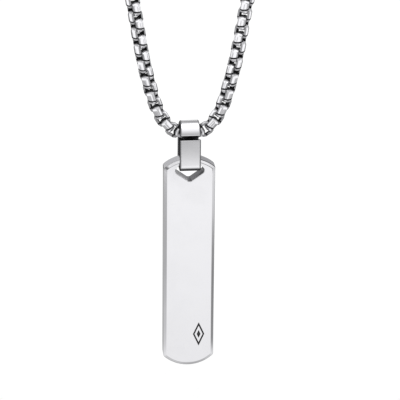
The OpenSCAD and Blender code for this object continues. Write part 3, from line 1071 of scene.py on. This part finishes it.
def build_world():
    """Studio air: bright overhead, grey towards the horizon and darker behind, white to the eye."""
    world = bpy.data.worlds.new("studio")
    bpy.context.scene.world = world
    world.use_nodes = True
    tree = world.node_tree
    split = node(tree, "SeparateXYZ", Vector=node(tree, "TexCoord").outputs["Generated"])
    z = split.outputs["Z"]
    front = level_ramp(tree, z, 1, [(0, 0.57), (0.11, 0.61), (0.26, 0.71), (0.42, 0.88),
                                    (0.56, 1.03), (0.69, 1.17), (0.85, 1.28)])
    back = level_ramp(tree, z, 1, [(0, 0.45), (0.1, 0.9), (0.2, 1.2), (0.38, 1.2), (0.43, 0.38),
                                   (0.69, 0.42), (0.88, 0.75), (0.98, 1.2)])
    glow = blend(tree, soft_step(tree, split.outputs["Y"], -0.1, 0.1, 0, 1), front, back)
    aside = soft_step(tree, calc(tree, "ABSOLUTE", split.outputs["X"]), 0.3, 0.55, 0, 1)
    glow = blend(tree, aside, glow, level_ramp(tree, z, 1, [(0, 1.2), (1, 1.28)]))
    seen = node(tree, "LightPath").outputs["Is Camera Ray"]
    feed(tree, tree.nodes["Background"], Color=(1.0, 1.0, 1.0, 1.0),
         Strength=blend(tree, seen, glow, SEEN_WHITE))


def build_camera(s):
    """The photograph's camera: it stands back from the target along the unit vector
    (sin a cos e, -cos a cos e, sin e), its right side turned up by the roll."""
    a, e, roll = s.azimuth, s.elevation, s.roll
    back = np.array([math.sin(a) * math.cos(e), -math.cos(a) * math.cos(e), math.sin(e)])
    level = np.array([math.cos(a), math.sin(a), 0.0])
    rise = np.cross(back, level)
    right = level * math.cos(roll) + rise * math.sin(roll)
    up = rise * math.cos(roll) - level * math.sin(roll)
    data = bpy.data.cameras.new("camera")
    data.lens, data.sensor_width = s.lens, 36.0
    data.clip_start, data.clip_end = 0.01, 30.0
    camera = bpy.data.objects.new("camera", data)
    bpy.context.scene.collection.objects.link(camera)
    place = Matrix(np.column_stack([right, up, back]).tolist()).to_4x4()
    place.translation = Vector(TARGET + back * s.distance)
    camera.matrix_world = place
    bpy.context.scene.camera = camera


def build_softbox():
    """The overhead softbox, a wide area light that the metal mirrors."""
    data = bpy.data.lights.new("softbox", "AREA")
    data.shape, data.size, data.size_y = "RECTANGLE", 0.7, 0.5
    # An area light's radiance is its power over pi times its area
    data.energy = 1.3 * data.size * data.size_y * math.pi
    light = bpy.data.objects.new("softbox", data)
    bpy.context.scene.collection.objects.link(light)
    light.location = (0.0, -0.22, 0.35)
    light.visible_camera = False


# ---- Operators, panel and registration ------------------------------------------------------


class PENDANT_OT_bar(Operator):
    """Build the bar with its hole and its filled mark"""

    bl_idname = "pendant.bar"
    bl_label = "Bar"

    def execute(self, context):
        scene = context.scene
        finish = scene.pendant_finish
        steel = steel_material("bar_polished_steel", finish, (1.0, 1.0, 0.08), 9000.0, 0.05)
        build_bar(scene.pendant_bar, scene.pendant_bail, steel,
                  enamel_material("mark_fill", finish))
        return {"FINISHED"}


class PENDANT_OT_bail(Operator):
    """Build the folded strap that hangs the bar on the chain"""

    bl_idname = "pendant.bail"
    bl_label = "Bail"

    def execute(self, context):
        scene = context.scene
        build_bail(scene.pendant_bail,
                   steel_material("bail_polished_steel", scene.pendant_finish,
                                  (1.0, 0.15, 0.06), 7000.0, 0.09))
        return {"FINISHED"}


class PENDANT_OT_chain(Operator):
    """Build the rounded box chain, link by link"""

    bl_idname = "pendant.chain"
    bl_label = "Chain"

    def execute(self, context):
        scene = context.scene
        build_chain(scene.pendant_chain,
                    steel_material("chain_polished_steel", scene.pendant_finish,
                                   (1.0, 1.0, 1.0), 5000.0, 0.05, links=True))
        return {"FINISHED"}


class PENDANT_OT_clasp(Operator):
    """Build the turned clasp at the nape"""

    bl_idname = "pendant.clasp"
    bl_label = "Clasp"

    def execute(self, context):
        scene = context.scene
        build_clasp(scene.pendant_clasp,
                    steel_material("clasp_turned_steel", scene.pendant_finish,
                                   (1.0, 0.04, 0.04), 8000.0, 0.35, spread=0.1, polish=0.2))
        return {"FINISHED"}


class PENDANT_OT_stage(Operator):
    """Set up the floor, the studio light and the camera"""

    bl_idname = "pendant.stage"
    bl_label = "Stage"

    def execute(self, context):
        scene = context.scene
        scene.view_settings.view_transform = "Standard"
        scene.view_settings.look = "None"
        build_floor(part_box("bar")[0].z - scene.pendant_stage.floor_drop)
        # Grey paper behind the pendant, for the bar's top
        for name, x, width, tone in (("card_back_left", -9.5, 32.5, 0.56),
                                     ("card_back_right", 18.5, 23.5, 0.38)):
            build_card(name, AXIS + np.array([x, 60, 4]) * MM, width * MM, 32 * MM, tone)
        build_world()
        build_softbox()
        build_camera(scene.pendant_stage)
        return {"FINISHED"}


class PENDANT_PT_panel(Panel):
    """The necklace's pieces, sizes and finishes"""

    bl_idname = "PENDANT_PT_panel"
    bl_label = "Bar Pendant Necklace"
    bl_space_type = "VIEW_3D"
    bl_region_type = "UI"
    bl_category = "Pendant"

    def draw(self, context):
        for group, kind in SETTINGS.items():
            box = self.layout.box()
            for name in kind.__annotations__:
                box.prop(getattr(context.scene, group), name)
            if kind is not PendantFinishSettings:
                box.operator(group.replace("_", "."))


# Each of these but the finish has an operator of the same name, with a dot for the _
SETTINGS = {
    "pendant_bar": PendantBarSettings,
    "pendant_bail": PendantBailSettings,
    "pendant_chain": PendantChainSettings,
    "pendant_clasp": PendantClaspSettings,
    "pendant_finish": PendantFinishSettings,
    "pendant_stage": PendantStageSettings,
}
CLASSES = (*SETTINGS.values(), PENDANT_OT_bar, PENDANT_OT_bail, PENDANT_OT_chain,
           PENDANT_OT_clasp, PENDANT_OT_stage, PENDANT_PT_panel)


def register():
    for cls in CLASSES:
        bpy.utils.register_class(cls)
    for name, cls in SETTINGS.items():
        setattr(bpy.types.Scene, name, PointerProperty(type=cls))


def unregister():
    for name in SETTINGS:
        delattr(bpy.types.Scene, name)
    for cls in reversed(CLASSES):
        bpy.utils.unregister_class(cls)


def main():
    register()
    bpy.ops.pendant.bar()
    bpy.ops.pendant.bail()
    bpy.ops.pendant.chain()
    bpy.ops.pendant.clasp()
    bpy.ops.pendant.stage()


if __name__ == "__main__":
    main()
